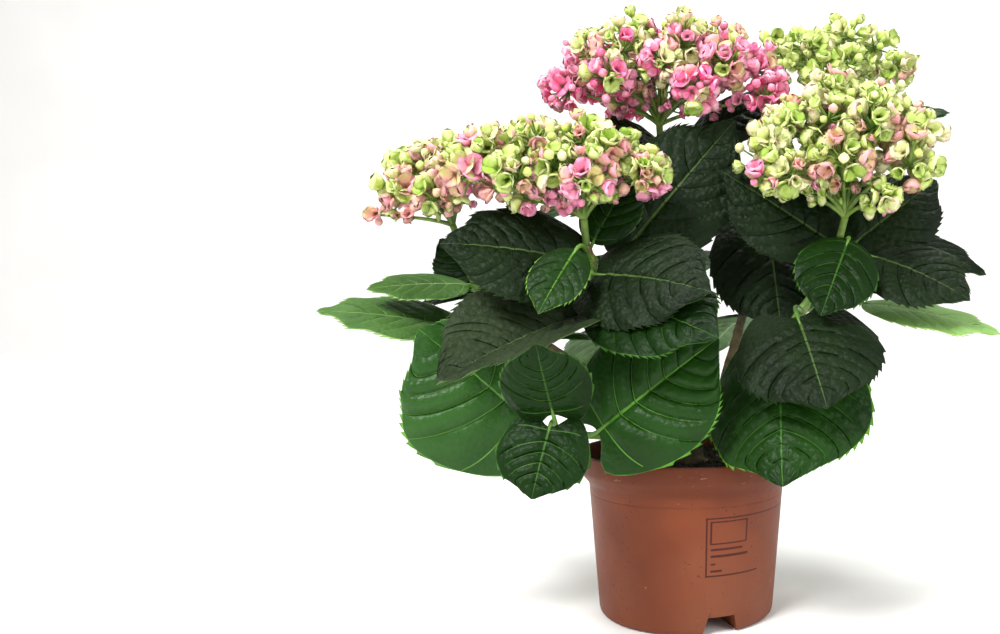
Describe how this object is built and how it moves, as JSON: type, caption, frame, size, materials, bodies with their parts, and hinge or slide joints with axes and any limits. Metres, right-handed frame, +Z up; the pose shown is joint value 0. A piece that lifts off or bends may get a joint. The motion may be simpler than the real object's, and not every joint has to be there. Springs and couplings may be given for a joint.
{
  "type": "potted hydrangea shrub",
  "caption": "Young hydrangea shrub in a round terracotta-coloured plastic nursery pot, with broad toothed leaves and domed pink and lime flower heads.",
  "frame": {"origin": "centre of the pot's flat underside, on the ground", "axes": "+Z straight up, +Y away from the side seen in the picture, +X to that side's right"},
  "size_m": [0.3972, 0.2911, 0.3764],
  "materials": {
    "pot_plastic": "satin moulded plastic",
    "potting_soil": "rough moist crumbs",
    "bark": "rough young bark",
    "leaf": "slightly glossy, veined",
    "blossom_lime": "soft, waxy",
    "blossom_blush": "soft, waxy",
    "blossom_pink": "soft, waxy"
  },
  "bodies": {
    "root": {"pot": "pot_plastic", "soil": "potting_soil", "crown_stem": "bark", "cane_front_left": "bark", "cane_low_front": "bark", "cane_left": "bark", "cane_top": "bark", "cane_right": "bark", "cane_right_back": "bark", "cane_back_left": "bark", "cane_back_right": "bark", "foliage_front_left": "leaf", "foliage_low_front": "leaf", "foliage_left": "leaf", "foliage_top": "leaf", "foliage_right": "leaf", "foliage_right_back": "leaf", "foliage_back_left": "leaf", "foliage_back_right": "leaf", "flower_head_front_left": "blossom_lime", "flower_head_left": "blossom_blush", "flower_head_top": "blossom_pink", "flower_head_right": "blossom_lime", "flower_head_right_back": "blossom_lime"}
  },
  "joints": []
}
